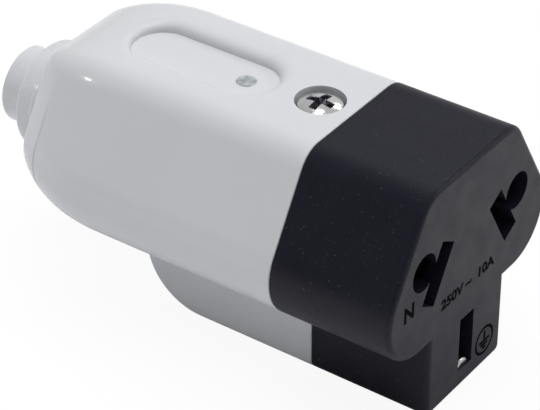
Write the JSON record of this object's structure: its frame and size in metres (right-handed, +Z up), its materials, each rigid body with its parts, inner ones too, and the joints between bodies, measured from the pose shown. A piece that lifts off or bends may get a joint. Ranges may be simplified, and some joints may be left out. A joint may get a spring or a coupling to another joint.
{
  "type": "rewireable three-pole cable connector socket",
  "caption": "Free-standing cable connector socket: black contact core with slanted slots that join round holes, in a glossy slide-on rear shell with a thumb recess and cable neck.",
  "frame": {"origin": "on the supporting plane under the keel, at the centre of the bounding box in plan", "axes": "+Z up, the pin face looks towards -Y and the cable neck points to +Y, +X is the live side, on the right when looking at the face"},
  "size_m": [0.0346, 0.0674, 0.0328],
  "materials": {
    "shell_plastic": "glossy light grey-white",
    "core_plastic": "satin black",
    "sleeve_plastic": "soft light grey-white, satin",
    "clamp_plastic": "satin black",
    "contact_brass": "plain rolled strip",
    "contact_nickel": "nickel plated strip",
    "plate_steel": "bright zinc plated",
    "screw_steel": "bright zinc plated",
    "shell_screw_steel": "bright, nickel plated"
  },
  "bodies": {
    "root": {"rear_shell": "shell_plastic", "socket_body": "core_plastic", "contact_cover": "core_plastic", "neutral_contact": "contact_brass", "live_contact": "contact_brass", "earth_contact": "contact_nickel", "neutral_wire_plate": "plate_steel", "live_wire_plate": "plate_steel", "earth_wire_plate": "plate_steel", "neutral_terminal_screw": "screw_steel", "live_terminal_screw": "screw_steel", "earth_terminal_screw": "screw_steel", "cord_clamp": "clamp_plastic", "clamp_screw_left": "screw_steel", "clamp_screw_right": "screw_steel", "cover_screw_left": "screw_steel", "cover_screw_right": "screw_steel", "shell_screw": "shell_screw_steel", "shell_nut": "screw_steel", "cable_sleeve": "sleeve_plastic"}
  },
  "joints": []
}
